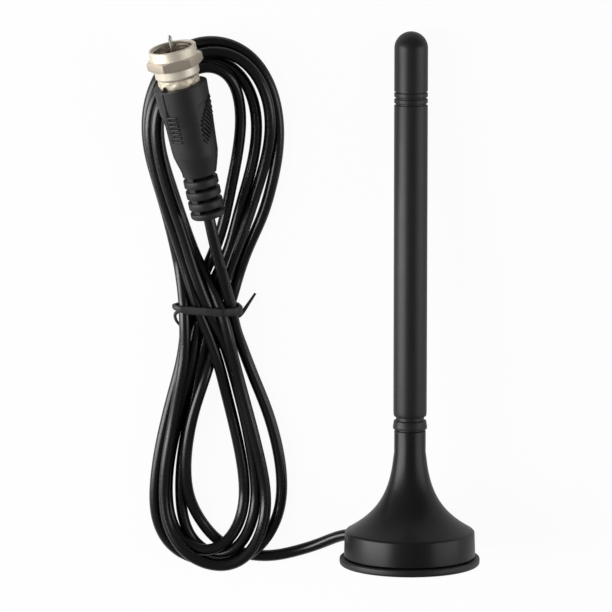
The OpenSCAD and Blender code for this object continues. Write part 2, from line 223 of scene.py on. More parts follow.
def turned_metal(name, colour, tarnish, rough, metal=1.0, spread=0.14, hexagon=False):
    """Plated or bare metal: fine tool lines, cloudy tarnish and small marks.

    With hexagon, the nut's flats and its bore get painted shade, a darker colour than the barrel's same nickel,
    and the bore is also smoother."""
    f = Finish(name)
    clouds = f.noise(320, 5)
    fine = f.noise(5200, 2)
    marks = f.ramp(f.noise(1500, 6), (0.58, 0), (0.70, 1))
    paint = f.blend(f.ramp(clouds, (0.35, 0), (0.75, 1)) * 0.6 + marks * 0.3, rgb(*colour), rgb(*tarnish))
    roughness = rough + clouds * spread + marks * 0.08
    if hexagon:
        flats, bore = on_flats(f), in_bore(f)
        # Painted shade: the flats and the bore are coloured darker than the barrel's nickel, to stand in for the
        # darker light they show
        paint = f.blend(bore, f.blend(flats, paint, rgb(0.40, 0.34, 0.27)), rgb(0.44, 0.40, 0.33))
        metal = metal + flats * (0.82 - metal) + bore * (0.95 - metal)
        roughness = roughness - bore * 0.2
    f.set(Base_Color=paint, Metallic=metal, Roughness=roughness)
    f.bump(fine, 0.004)
    return f.material


def sheath():
    """The lead's jacket: glossy black, slightly wavy along its length, dusty in places."""
    f = Finish("lead_jacket")
    along = f.places((160, 4, 1), "UV")
    waves = f.noise(1.0, 2, along)
    dust = f.ramp(f.noise(900, 5), (0.62, 0), (0.80, 1))
    f.set(Base_Color=f.blend(dust * 0.5, rgb(0.004), rgb(0.014)),
          Roughness=0.22 + waves * 0.10 + dust * 0.10,
          Specular_IOR_Level=0.38)
    f.bump(waves + 0.25 * f.noise(4200, 2), 0.03)
    return f.material


FINISHES = {
    "base_plastic": moulded("base_plastic", (0.006,), (0.011,), 0.34, 0.06, 12000, 0.004, 0.21),
    "foot_rubber": moulded("foot_rubber", (0.008,), (0.016,), 0.46, 0.10, 7000, 0.012, 0.3),
    "pad_foam": moulded("pad_foam", (0.020,), (0.034,), 0.85, 0.10, 2600, 0.060, 0.3),
    "whip_rubber": moulded("whip_rubber", (0.010,), (0.020,), 0.42, 0.10, 6000, 0.014, 0.27),
    "grip_plastic": moulded("grip_plastic", (0.011,), (0.021,), 0.48, 0.10, 6500, 0.016, 0.32),
    "tie_plastic": moulded("tie_plastic", (0.012,), (0.024,), 0.44, 0.10, 5000, 0.010, 0.35),
    "white_plastic": moulded("white_plastic", (0.74, 0.73, 0.69), (0.62, 0.60, 0.54), 0.42),
    "lead_jacket": sheath(),
    # The nut's nickel carries painted shade on its six flats and in its bore (hexagon=True)
    "nickel": turned_metal("nickel", (0.72, 0.66, 0.55), (0.48, 0.42, 0.33), 0.42, 0.50,
                           spread=0.12, hexagon=True),
    "collar_nickel": turned_metal("collar_nickel", (0.76, 0.69, 0.55), (0.36, 0.30, 0.21), 0.34, 0.55,
                                  spread=0.2),
    "pin_metal": turned_metal("pin_metal", (0.42, 0.41, 0.38), (0.34, 0.32, 0.28), 0.3, spread=0.05),
    "brass": turned_metal("brass", (0.80, 0.62, 0.30), (0.45, 0.31, 0.14), 0.24),
    "copper": turned_metal("copper", (0.82, 0.44, 0.27), (0.42, 0.20, 0.11), 0.26),
    "plated_steel": turned_metal("plated_steel", (0.66, 0.67, 0.68), (0.38, 0.37, 0.35), 0.28),
    "magnet": turned_metal("magnet", (0.16, 0.16, 0.17), (0.09, 0.08, 0.08), 0.52),
}


# ---- Stage and light ----
FLOOR_GLOW, MIRRORED_GLOW = 0.95, 0.32


def stage_floor():
    """A white table: it glows to the camera, and less in what the pieces mirror."""
    f = Finish("floor")
    f.set(Base_Color=rgb(0.9), Roughness=0.9)
    seen = f.node("ShaderNodeLightPath", out="Is Camera Ray")
    mirrored = f.node("ShaderNodeLightPath", out="Is Glossy Ray")
    through = f.node("ShaderNodeLightPath", out="Is Transmission Ray")
    white = f.node("ShaderNodeEmission", None, {"Color": rgb(1), "Strength": 1.0})
    lit = Wire(f, f.shader.outputs[0])
    share = seen.maths("MINIMUM", seen * FLOOR_GLOW + (mirrored + through) * MIRRORED_GLOW, FLOOR_GLOW)
    mixed = f.node("ShaderNodeMixShader", None, {0: share, 1: lit, 2: white})
    f.tree.links.new(mixed.socket, f.tree.nodes["Material Output"].inputs[0])
    bpy.ops.mesh.primitive_plane_add(size=6)
    floor = bpy.context.object
    floor.name = "floor"
    floor.data.materials.append(f.material)


def softbox(name, place, aim, size, power):
    """A rectangular lamp of the given width, length and watts, turned to aim."""
    lamp = bpy.data.lights.new(name, "AREA")
    lamp.shape = "RECTANGLE"
    lamp.size, lamp.size_y = size
    lamp.energy = power
    holder = placed(name, lamp)
    holder.location = place
    holder.rotation_euler = (Vector(aim) - Vector(place)).to_track_quat("-Z", "Y").to_euler()


stage_floor()
softbox("left_box", (-0.80, 0, 0.18), (0, 0, 0.01), (0.34, 1.4), 16)
softbox("right_box", (0.85, 0, 0.16), (0, 0, 0.01), (0.42, 1.4), 5.9)
world = bpy.data.worlds.new("room")
bpy.context.scene.world = world
world.use_nodes = True
room_light = world.node_tree.nodes["Background"].inputs
room_light["Color"].default_value = rgb(0.9)
room_light["Strength"].default_value = 0.20


# ---- Mesh makers ----
SAME_POINT = 1e-7


def facing_out(mesh, merge=True):
    """Turns every face outwards, after points in the same place are made one."""
    b = bmesh.new()
    b.from_mesh(mesh)
    if merge:
        bmesh.ops.remove_doubles(b, verts=b.verts, dist=SAME_POINT)
    bmesh.ops.recalc_face_normals(b, faces=b.faces)
    b.to_mesh(mesh)
    b.free()


def piece(name, verts, faces, finish, body, at=None, sharp=32, replaces=(), fix=True):
    """A finished piece of a body, in place of the nodes it replaces.

    Its points are in millimetres, in the frame at or else in the part's own frame."""
    mesh = bpy.data.meshes.new(name)
    if at is None:
        at = Matrix.Scale(MM, 4)
    mesh.from_pydata([tuple(at @ Vector(v)) for v in verts], [], faces)
    if fix:
        facing_out(mesh)
    o = placed(name, mesh)
    dress(o, finish, sharp)
    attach(o, body)
    if replaces:
        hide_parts(*replaces)
    return o


def dress(o, finish, sharp):
    """Gives a piece its finish, smooth up to the angle where its edges are sharp."""
    o.data.materials.clear()
    o.data.materials.append(FINISHES[finish])
    o.data.polygons.foreach_set("use_smooth", [True] * len(o.data.polygons))
    o.data.set_sharp_from_angle(angle=math.radians(sharp))
    finish in RECORD_SLOTS


def softened(corners, steps=5):
    """A profile whose corners (r, z, radius) are rounded by arcs."""
    out = []
    n = len(corners)
    for i, (r, z, *rad) in enumerate(corners):
        radius = rad[0] if rad else 0
        here = Vector((r, z))
        if not radius:
            out.append((r, z))
            continue
        before, after = Vector(corners[i - 1][:2]), Vector(corners[(i + 1) % n][:2])
        u, v = (before - here).normalized(), (after - here).normalized()
        half = u.angle(v) / 2
        reach = min(radius / math.tan(half), 0.49 * (before - here).length, 0.49 * (after - here).length)
        a, b = here + u * reach, here + v * reach
        for k in range(steps + 1):
            t = k / steps
            p = a * (1 - t) ** 2 + here * 2 * t * (1 - t) + b * t ** 2
            out.append((p.x, p.y))
    return out


def round_angles(sides, fine_at, fine_step=0.011, fine_count=7):
    """Even angles round a circle, with close ones added on both sides of the given angles."""
    angles = [2 * math.pi * k / sides for k in range(sides)]
    for middle in fine_at:
        angles += [(middle + fine_step * k) % (2 * math.pi) for k in range(-fine_count, fine_count + 1)]
    return sorted(angles)


def quads(i, j, n):
    """The faces between ring i and ring j, of n points each."""
    return [(i * n + k, i * n + (k + 1) % n, j * n + (k + 1) % n, j * n + k) for k in range(n)]


def caps(rings, n):
    """The faces that close the first and the last ring."""
    return [tuple(range(n))[::-1], tuple(range((rings - 1) * n, rings * n))]


def lathe(name, profile, at, finish, body, sides=96, fine_at=(), shape=None, **more):
    """Turns a closed profile of (r, z) round the frame's z. shape(r, z, angle) may move each point."""
    angles = round_angles(sides, fine_at)
    n = len(angles)
    verts, faces = [], []
    for r, z in profile:
        for a in angles:
            rr, zz = shape(r, z, a) if shape else (r, z)
            verts.append((rr * math.cos(a), rr * math.sin(a), zz))
    for i in range(len(profile)):
        faces += quads(i, (i + 1) % len(profile), n)
    return piece(name, verts, faces, finish, body, at, **more)


def plain_mesh(o):
    """Puts the piece's modifiers into its mesh, and leaves none on it."""
    bpy.context.view_layer.update()
    done = bpy.data.meshes.new_from_object(o.evaluated_get(bpy.context.evaluated_depsgraph_get()))
    o.modifiers.clear()
    o.data = done


def cut(o, verts, faces, at):
    """Cuts a closed shape out of a piece."""
    mesh = bpy.data.meshes.new("cutter")
    mesh.from_pydata([tuple(at @ Vector(v)) for v in verts], [], faces)
    facing_out(mesh, merge=False)
    tool = placed("cutter", mesh)
    m = o.modifiers.new("cut", "BOOLEAN")
    m.operation, m.object, m.solver = "DIFFERENCE", tool, "EXACT"
    plain_mesh(o)
    bpy.data.objects.remove(tool)


def prism(corners, z0, z1):
    """Points and faces of an upright block with the given outline."""
    n = len(corners)
    verts = [(x, y, z) for z in (z0, z1) for x, y in corners]
    return verts, caps(2, n) + quads(0, 1, n)


def round_prism(radius, z0, z1, sides=48):
    """Points and faces of an upright round bar."""
    angles = [2 * math.pi * k / sides for k in range(sides)]
    return prism([(radius * math.cos(a), radius * math.sin(a)) for a in angles], z0, z1)


# ---- Lead ----
LEAD_D, STEP = 2.6, 0.6
TIE_Y, TIE_W, TIE_T = -2.8, 1.9, 0.7
LEAD_SIDES = 16
# How many points of the lead are eased free after the base and before the plug, and held in the plug
BASE_EASED, PLUG_EASED, PLUG_HELD = 30, 45, 30
# One pass of settling: how hard strands push and how far along the line a push spreads, how often and
# how much the line is smoothed, how strongly it is drawn back to where it was laid, and how far it sinks
PUSH, PUSH_SPREAD, SMOOTH_TIMES, SMOOTH_SHARE, DRAW_BACK, SINK = 2.6, 120, 4, 0.8, 0.05, 0.01


def on_plug(z):
    """A point on the plug's axis."""
    return tuple((PLUG @ Vector((0, 0, z))) / MM)


def on_base(r):
    """A point on the axis of the hole where the lead leaves the base."""
    return tuple((EXIT @ Vector((0, 0, r))) / MM)


LEAD_OUT = [on_base(9), on_base(15.5), on_base(17.5), (-19, -58.6, 4.2), (-24.5, -61, 1.9),
            (-29.5, -62.6, 1.4), (-34, -63, 1.4)]
# The hank, one row for each run from the waist round an end and back
RUNS = [
    [(-39.3, -62.3, 1.4), (-43, -60.4, 1.3), (-45.9, -57.6, 1.3), (-48.1, -54.4, 1.6), (-50, -50.8, 2.4),
     (-51.3, -46.7, 3.2), (-51.6, -41.5, 3.4), (-51, -34.7, 3.4), (-49.6, -27.5, 3), (-47.5, -20.4, 2.4),
     (-44.9, -12, 2.1), (-40.9, -3, 2.1)],
    [(-39.8, 2, 2), (-38.7, 6, 1.8), (-36.2, 12.7, 1.4), (-33.6, 17.5, 1.3), (-31.8, 24, 1.3),
     (-30.4, 30.2, 1.3), (-29.8, 36.5, 1.3), (-29.9, 41.3, 1.3), (-31, 47, 1.3), (-33.1, 52, 1.3),
     (-36.5, 56.2, 1.3), (-41, 58.6, 1.3), (-45.5, 59.3, 1.3), (-50, 58.4, 1.3), (-54, 55.6, 1.3),
     (-57.1, 50.6, 1.3), (-59, 45, 1.3), (-59.5, 39, 1.3), (-59, 33, 1.3), (-57, 25.5, 1.3), (-54.9, 18, 1.4),
     (-53.3, 11, 2.2), (-52, 4.5, 3.6), (-51, -3, 4.4)],
    [(-51.3, -10, 4.3), (-50.8, -9.6, 4.3), (-51.6, -16.3, 4.1), (-53.2, -25.3, 4), (-54.9, -33.9, 4),
     (-56, -40.1, 4), (-56.4, -46.4, 4), (-56.5, -50.2, 4), (-55.9, -54.1, 4), (-54.3, -57.5, 4),
     (-52.1, -60.3, 4), (-48.9, -62.6, 3.9), (-45.1, -64, 3.9), (-42.1, -64.4, 4), (-39.4, -63.6, 4.6),
     (-36.8, -61.6, 5.2), (-34.6, -58.4, 5.4), (-33.2, -54.7, 4.9), (-32.6, -50.1, 4.2), (-32.9, -45.9, 3.8),
     (-34.4, -38.3, 3.8), (-36.3, -30.2, 3.8), (-38.4, -22, 3.9), (-40.3, -14.4, 4.2), (-41.9, -7.2, 4.6),
     (-41.4, -8, 4.6), (-43.4, -3, 5)],
    [(-44.8, 1.3, 4.9), (-46.9, 5, 4.4), (-48.6, 8.5, 3.8), (-50.2, 12.7, 3.2), (-51.8, 17.3, 2.9),
     (-53.9, 24, 3), (-55.9, 29.5, 3.1), (-57.6, 35, 3.1), (-57.9, 40, 3.1), (-57.1, 45.5, 3),
     (-54.9, 50, 2.4), (-51.6, 53.3, 1.6), (-47.5, 55.1, 1.3), (-43.4, 54.8, 1.3), (-39.5, 53, 1.3),
     (-37, 49.4, 1.3), (-35.2, 45.2, 1.3), (-34.5, 40.2, 1.3), (-34.8, 35.5, 1.3), (-35.8, 30, 1.3),
     (-37.3, 24.5, 1.3), (-39.2, 17.5, 1.3), (-40.4, 12, 1.5), (-42.9, 5.6, 1.9), (-47.6, -3, 2.1)],
    [(-49, -11.9, 1.8), (-50.2, -18, 1.5), (-52, -25.1, 1.4), (-53.7, -32.2, 1.5), (-55.1, -38.2, 1.6),
     (-55.8, -44.2, 1.6), (-55.8, -49, 1.7), (-55.4, -53.7, 2.2), (-53.8, -57, 2.8), (-51.5, -59.8, 3.3),
     (-48.4, -61.7, 3.6), (-45.1, -61.5, 3.8), (-42.2, -59.9, 3.8), (-39.9, -57.1, 3.6), (-38.3, -53.4, 3.2),
     (-37.6, -49.2, 2.8), (-37.7, -45, 2.4), (-38.6, -38.5, 2.2), (-40.2, -30.9, 2.2), (-42.1, -22.9, 2.6),
     (-43.8, -15.1, 3.4), (-45.5, -7.9, 4.4), (-45.2, -8.5, 4.8), (-47.8, -3, 5)],
    [(-50.4, 5, 5), (-52.6, 12.5, 4.8), (-54.5, 18, 4.6), (-56.6, 25, 4.8), (-58.3, 31.5, 4.9),
     (-59.2, 37, 4.9), (-59.2, 42, 4.7), (-58, 46.5, 4), (-55.6, 50.2, 3.2), (-52.3, 53.6, 2.9),
     (-48.5, 56.8, 3), (-44.6, 57.4, 3.1), (-40.6, 57, 3.1), (-36.8, 54.8, 3.2), (-33.8, 50.6, 3.2),
     (-32, 46.2, 3.2), (-31.3, 41.3, 3.2), (-31.5, 36.5, 3.2), (-32.7, 31, 3.2), (-34.7, 25, 3.2),
     (-36.8, 18.5, 3.3), (-38.6, 13.5, 3.2), (-40.8, 8, 2.8), (-43, 2, 2.3), (-45, -3, 2.1)],
    [(-47.2, -12, 1.6), (-48.4, -18.2, 1.4), (-49.7, -24.7, 1.3), (-51, -30.9, 1.3), (-52, -37.1, 1.3),
     (-52.5, -42.8, 1.3), (-52.5, -47.7, 1.3), (-52.6, -52.2, 1.3), (-51.7, -56.6, 1.4), (-49.7, -60.3, 1.8),
     (-46.3, -62.7, 2.4), (-42.6, -62.9, 3), (-39.4, -60.9, 3), (-37, -57.3, 2.4), (-35.5, -53, 1.8),
     (-34.9, -48.6, 1.5), (-35.2, -43.3, 1.3), (-36.3, -36.1, 1.3), (-37.7, -28.7, 1.5), (-39.7, -20.9, 2),
     (-41.4, -14.2, 3), (-43.5, -6.6, 4.3), (-43, -9, 4.2), (-45.6, -3, 4.6)],
    [(-48.6, 5, 5.2), (-49.9, 9, 5.4), (-51.5, 15, 5.2), (-53.6, 21, 5.6), (-55.5, 27, 6.3), (-57, 33, 6.5),
     (-57.7, 38, 6.5), (-57.7, 42.5, 6.2), (-56.6, 46.5, 5), (-54.4, 49.5, 3.6), (-51.4, 51.4, 2.6),
     (-48.2, 54.2, 3.2), (-44.8, 54.7, 3.7), (-41.2, 53.3, 3.3), (-39.2, 49.8, 2.6), (-38.5, 45.2, 2),
     (-38.1, 40.6, 1.7), (-38.7, 35.5, 1.5), (-39.7, 29.5, 1.3), (-40.8, 24.5, 1.3), (-41.8, 19, 1.3),
     (-43, 14, 1.4), (-45.4, 8, 1.6), (-48, 2.5, 2), (-50.2, -3, 2.1)],
    [(-51.4, -9, 1.9), (-51, -10.3, 1.9), (-51.9, -16.1, 1.4), (-53.5, -22.8, 1.3), (-55.4, -29.7, 1.3),
     (-57.3, -37.1, 1.3), (-58.2, -42.8, 1.3), (-58.8, -48.1, 1.3), (-58.6, -53.2, 1.3), (-57.4, -57.1, 1.3),
     (-55.3, -60.5, 1.3), (-51.9, -62.8, 1.3), (-47.5, -63.5, 1.3), (-43.6, -63.6, 1.3), (-39.9, -62.8, 1.6),
     (-36.1, -61.3, 2.2), (-32.9, -58.7, 2.4), (-30.8, -55.4, 2), (-29.4, -51.4, 1.5), (-29, -46.2, 1.3),
     (-29.4, -40.4, 1.3), (-30.9, -33, 1.3), (-32.8, -26.6, 1.3), (-35.4, -20.4, 1.4), (-37.8, -13.9, 2.4),
     (-39.6, -8.4, 3.6), (-39.8, -10, 4), (-40.6, -3, 5)],
]
TO_PLUG = [(-41.5, 0.6, 5.6), (-42.6, 5.5, 6.4), (-43.7, 10.5, 7.4), (-44.6, 14.5, 8.2),
           on_plug(-2.5), on_plug(1), on_plug(6)]


def between(u, v, start, end, t):
    """The value at t on the straight line that is u at start and v at end."""
    return ((end - t) * u + (t - start) * v) / (end - start)


def through(points, step):
    """A smooth line through points: a centripetal spline, which doesn't loop where points lie close."""
    p = np.array(points, float)
    q = np.vstack([2 * p[0] - p[1], p, 2 * p[-1] - p[-2]])
    out = []
    for i in range(len(p) - 1):
        a, b, c, d = q[i:i + 4]
        k = np.cumsum([0] + [np.linalg.norm(v) ** 0.5 for v in (b - a, c - b, d - c)])
        count = max(2, int(round(np.linalg.norm(c - b) / step)))
        for t in k[1] + (k[2] - k[1]) * np.arange(count) / count:
            one = between(a, b, k[0], k[1], t)
            two = between(b, c, k[1], k[2], t)
            three = between(c, d, k[2], k[3], t)
            early = between(one, two, k[0], k[2], t)
            late = between(two, three, k[1], k[3], t)
            out.append(between(early, late, k[1], k[2], t))
    return np.array(out + [p[-1]])


def evened(line, step):
    """The same line with its points evenly spaced."""
    run = np.r_[0, np.cumsum(np.linalg.norm(np.diff(line, axis=0), axis=1))]
    at = np.linspace(0, run[-1], int(round(run[-1] / step)) + 1)
    return np.stack([np.interp(at, run, line[:, k]) for k in range(3)], 1)


def bowed(line):
    """How far each point lies from the middle of its neighbours."""
    out = np.zeros_like(line)
    out[1:-1] = line[:-2] - 2 * line[1:-1] + line[2:]
    return out


def eased(line, times, free=1.0):
    """The line smoothed a number of times, where it is free."""
    line = line.copy()
    for _ in range(times):
        line += 0.25 * bowed(line) * free
    return line


def close_pairs(line, reach, apart, chunk=400):
    """The pairs of points within reach of each other that are more than apart steps apart along the line."""
    found = []
    for start in range(0, len(line), chunk):
        d = ((line[start:start + chunk, None] - line[None]) ** 2).sum(2)
        i, j = np.nonzero(d < reach * reach)
        i = i + start
        found.append(np.stack([i, j], 1)[(j - i) > apart])
    return np.vstack(found)


def resting_height(line):
    """The lead's axis on the table, raised where the tie passes beneath it."""
    return LEAD_D / 2 + TIE_T * np.exp(-((line[:, 1] - TIE_Y) / 6) ** 4)


def freedom(n):
    """How freely each point may move: 0 where the base or the plug holds the lead, 1 along the hank."""
    free = np.ones(n)
    free[:BASE_EASED] = np.linspace(0, 1, BASE_EASED) ** 2
    free[-PLUG_HELD - PLUG_EASED:-PLUG_HELD] = np.linspace(1, 0, PLUG_EASED)
    free[-PLUG_HELD:] = 0
    return free[:, None]


def settled(line, rounds=50, passes=8, nearby=1.6, along_mm=9):
    """Lets the strands rest on the table and on each other, close to where they were laid."""
    home, line, n = line.copy(), line.copy(), len(line)
    free = freedom(n)
    for _ in range(rounds):
        pairs = close_pairs(line, LEAD_D * nearby, int(along_mm / STEP))
        for _ in range(passes):
            away = line[pairs[:, 1]] - line[pairs[:, 0]]
            gap = np.linalg.norm(away, axis=1)
            near = gap < LEAD_D
            i, j = pairs[near].T
            gap = np.maximum(gap[near], 1e-6)
            push = (LEAD_D - gap)[:, None] * away[near] / gap[:, None] * (0.5, 0.5, 1)
            move, count = np.zeros_like(line), np.zeros(n)
            np.add.at(move, j, push / 2)
            np.add.at(move, i, -push / 2)
            np.add.at(count, j, 1)
            np.add.at(count, i, 1)
            line += eased(PUSH * move / np.maximum(count, 1)[:, None], PUSH_SPREAD) * free
            line = eased(line, SMOOTH_TIMES, SMOOTH_SHARE * free)
            line[:, :2] += DRAW_BACK * (home - line)[:, :2] * free
            line[:, 2] = np.maximum(line[:, 2] - SINK * free[:, 0], resting_height(line))
        line = limited(line, free)
    return line


def limited(line, free, least=7.0, times=6):
    """Opens bends that are tighter than the least radius, and a short way on both sides of them."""
    for _ in range(times):
        d = np.diff(line, axis=0)
        size = np.linalg.norm(d, axis=1)
        t = d / size[:, None]
        turn = np.arccos(np.clip((t[:-1] * t[1:]).sum(1), -1, 1))
        tight = np.zeros(len(line))
        tight[1:-1] = np.clip(least * turn / size[1:] - 0.85, 0, 1)
        tight = np.clip(np.convolve(tight, np.full(9, 2 / 9), "same"), 0, 1)
        line = line + 0.45 * bowed(line) * tight[:, None] * free
        line[:, 2] = np.maximum(line[:, 2], resting_height(line))
    return line


def tube(line, radius, sides):
    """Points and faces of a closed tube, whose rings are carried along the line without twist."""
    n = len(line)
    tangent = np.gradient(line, axis=0)
    tangent /= np.linalg.norm(tangent, axis=1)[:, None]
    normal = np.cross(tangent[0], (0, 0, 1.0))
    verts = []
    for i in range(n):
        normal = normal - tangent[i] * normal.dot(tangent[i])
        normal /= np.linalg.norm(normal)
        side = np.cross(tangent[i], normal)
        for k in range(sides):
            a = 2 * math.pi * k / sides
            verts.append(line[i] + radius * (math.cos(a) * normal + math.sin(a) * side))
    faces = [face for i in range(n - 1) for face in quads(i, i + 1, sides)]
    return verts, faces + caps(n, sides)


route = LEAD_OUT + [p for run in RUNS for p in run] + TO_PLUG
laid = evened(eased(evened(through(route, STEP), STEP), 40), STEP)
line = evened(settled(laid), STEP)
verts, faces = tube(line, LEAD_D / 2, LEAD_SIDES)
lead = piece("lead", verts, faces, "lead_jacket", "base", sharp=60, fix=False,
             replaces=("cord_lead", "cord_hank", "cord_tail"))
uv = lead.data.uv_layers.new(name="along")
for face in lead.data.polygons:
    for loop in face.loop_indices:
        at = lead.data.loops[loop].vertex_index
        uv.data[loop].uv = (at // LEAD_SIDES / len(line), at % LEAD_SIDES / LEAD_SIDES)

# ---- Base ----
BAND_R, RIM_R, BAND_TOP, NECK_R, BASE_H = 15, 14.8, 7.9, 3.6, 31
FLARE_H, FLARE_FALL, WALL, INSERT_R, CAVITY_R = 18.1, 6, 1.8, 2.65, 12.7
SPIGOT_R, SPIGOT_Z, BAND_Z, RIM_Z, ROOF_Z = 13.6, 0.6, 1.9, 7.5, 6.3
RING_BORE, RING_R, RING_H = 13.65, 16, 1.7
LEAD_HOLE, GROMMET_R, GROMMET_IN, GROMMET_OUT = 1.35, 1.9, 12.4, 15.4


def flare(t):
    """The flare's radius, from the band's top (t = 0) to the neck (t = 1)."""
    return (NECK_R + 0.15 * (1 - t)
            + (RIM_R - 0.55 - NECK_R) * math.exp(-t * FLARE_H / FLARE_FALL) * (1 - t * t) ** 0.7)


outer = [(flare(k / 60), BAND_TOP + k / 60 * FLARE_H) for k in range(2, 61)]
inner = [(max(flare(k / 24) - WALL, INSERT_R), BAND_TOP + k / 24 * FLARE_H) for k in range(24, 3, -1)]
shell = lathe(
    "base_housing",
    softened([(CAVITY_R, SPIGOT_Z), (SPIGOT_R, SPIGOT_Z, 0.1), (SPIGOT_R, BAND_Z, 0.1),
              (BAND_R, BAND_Z, 0.22), (RIM_R, RIM_Z, 0.2), (RIM_R - 0.4, BAND_TOP, 0.14)] + outer
             + [(NECK_R, BASE_H, 0.2), (INSERT_R, BASE_H, 0.1)] + inner
             + [(flare(0.1) - WALL, ROOF_Z), (CAVITY_R, ROOF_Z)]),
    BASE, "base_plastic", "base", sides=160, replaces=("base_shell",))
cut(shell, *round_prism(1.95, 8, 17), EXIT)
dress(shell, "base_plastic", 30)
lathe("foot",
      softened([(RING_BORE, 0), (RING_R, 0, 0.65), (RING_R, RING_H, 0.5), (RING_BORE, RING_H, 0.1)], 8),
      BASE, "foot_rubber", "base", sides=160, replaces=("foot_ring",))
lathe("lead_grommet",
      softened([(LEAD_HOLE, GROMMET_IN), (GROMMET_R, GROMMET_IN), (GROMMET_R, GROMMET_OUT, 0.25),
                (LEAD_HOLE, GROMMET_OUT, 0.12)]),
      EXIT, "foot_rubber", "base", sides=48, replaces=("cable_grommet",))

# ---- Whip ----
FOOT = BASE_H + 0.35
TOP = FOOT + 90.6
WHIP_R, WAIST_R, FERRULE_R, ROD_R = 3.8, 3.2, 2.45, 0.8
GROOVE, GROOVE_PITCH, GROOVES_BELOW_TOP = 0.3, 1.4, 13.6
COLLAR_TOP, WAIST_TOP = FOOT + 2, FOOT + 2.9
DOME = TOP - WHIP_R
sleeve = [(FERRULE_R, COLLAR_TOP), (WAIST_R, COLLAR_TOP), (WAIST_R, WAIST_TOP, 0.15),
          (WHIP_R - 0.1, WAIST_TOP, 0.35), (WHIP_R, FOOT + 4)]
for k in (2, 1, 0):
    z = TOP - GROOVES_BELOW_TOP - k * GROOVE_PITCH - 0.25
    sleeve += [(WHIP_R, z, 0.10), (WHIP_R - GROOVE, z + 0.08, 0.08), (WHIP_R - GROOVE, z + 0.42, 0.08),
               (WHIP_R, z + 0.5, 0.10)]
dome = [(WHIP_R * math.cos(a), DOME + WHIP_R * math.sin(a))
        for a in (math.radians(2 + 86 * k / 26) for k in range(27))]
nub = [(0.35, TOP - 0.02), (0.3, TOP - 0.01), (0, TOP)]
hollow = [(0, DOME - 5.95), (ROD_R, DOME - 5.95), (ROD_R, FOOT + 21.6), (2.4, FOOT + 21.6),
          (2.4, FOOT + 6.6), (FERRULE_R, FOOT + 6.59)]
lathe("whip_cover", softened(sleeve) + dome + nub + hollow, BASE, "whip_rubber", "whip",
      sides=128, replaces=("whip_sleeve",))
lathe("whip_foot_collar",
      softened([(FERRULE_R, FOOT), (3.85, FOOT, 0.15), (3.9, FOOT + 0.5, 0.2), (3.68, COLLAR_TOP, 0.25),
                (FERRULE_R, COLLAR_TOP)]),
      BASE, "whip_rubber", "whip", sides=128, replaces=("whip_collar",))

# ---- Plug ----
BOOT, GRIP_TOP, GRIP_END_R = 10.7, 32.0, 6.05
BOOT_R, SLOT_FLOOR, SLOT_W, SLOT_PITCH = 3.95, 1.7, 0.8, 2.6
SEAM = math.radians(-131.5)
# The grip's radius on its left and right side, as (height, radius)
LEFT_SIDE = [(10.7, 3.8), (11.8, 3.86), (12.7, 4.08), (14.5, 4.6), (15.8, 4.9), (17.5, 5.05), (20, 5.12),
             (23.2, 5.22), (25, 5.52), (26.2, 5.78), (29, 5.9), (31.7, 5.95)]
RIGHT_SIDE = [(10.7, 3.9), (11.8, 4.25), (14, 4.9), (15.6, 5.27), (18, 5.42), (23.4, 5.8), (27, 5.95),
              (31.7, 6.15)]
# The oval patch's middle, as (angle, height)
OVAL = (math.radians(-31), 23.8)


def from_angle(angle, middle):
    """The angle from middle, between -pi and pi."""
    return (angle - middle + math.pi) % (2 * math.pi) - math.pi


def step_between(x, low, high):
    """0 below low, 1 above high, and a smooth step between."""
    t = min(1, max(0, (x - low) / (high - low)))
    return t * t * (3 - 2 * t)


def grip_radius(z, angle):
    """The grip's surface: fuller on the right, waisted on the left, with a sunk pad for the oval ribs."""
    share = (1 + math.cos(angle)) / 2
    r = (1 - share) * np.interp(z, *np.array(LEFT_SIDE).T) + share * np.interp(z, *np.array(RIGHT_SIDE).T)
    x, y = from_angle(angle, OVAL[0]) / 0.49, (z - OVAL[1]) / 4.3
    return r - 0.14 * (1 - step_between((x ** 4 + y ** 4) ** 0.25, 0.93, 1.0))


def grip_shape(r, z, angle):
    """Lays the skin's points on the grip and presses the mould's joint line into both sides.

    A small nib of plastic stands on the grip's end, where the left joint line meets it."""
    if r < 3.1 or z < BOOT - 0.01:
        return r, z
    left = from_angle(angle, SEAM)
    if z > GRIP_TOP - 0.36:
        nib = max(0, 1 - abs(left + 0.02) / 0.11) if 4.7 < r < 4.9 else 0
        to_skin = (grip_radius(GRIP_TOP - 0.35, angle) - GRIP_END_R) * (r > 5)
        return r + 0.12 * min(1, 4 * nib) + to_skin, z + 1.3 * nib
    if r > 3.7 or z > BOOT + 0.1:
        r = grip_radius(z, angle)
    near = min(abs(left), abs(from_angle(angle, SEAM + math.pi))) * r
    gape = math.exp(-((z - 25.9) / 1.3) ** 2)
    line_depth = (0.16 + 0.26 * gape) * math.exp(-(near / (0.10 + 0.26 * gape)) ** 2)
    lip = 0.10 * (1 - step_between(-left, 0.3, 0.6)) if -0.6 < left < 0 else 0
    return r + (lip - line_depth) * step_between(z, 19.8, 21.5), z


def boot_profile():
    """Rounded rings, with a shallow groove left between them under the spines."""
    out = [(LEAD_HOLE, 0.55), (3.2, 0.55), (3.6, 0.66), (3.85, 0.9), (BOOT_R, 1.2)]
    for k in (3, 2, 1, 0):
        top = BOOT - k * SLOT_PITCH
        low = top - SLOT_W
        out += [(BOOT_R, low - 0.26), (3.9, low - 0.10), (3.8, low - 0.02), (3.6, low), (3.6, top)]
        if k:
            out += [(3.8, top + 0.02), (3.9, top + 0.10), (BOOT_R, top + 0.26)]
    return out


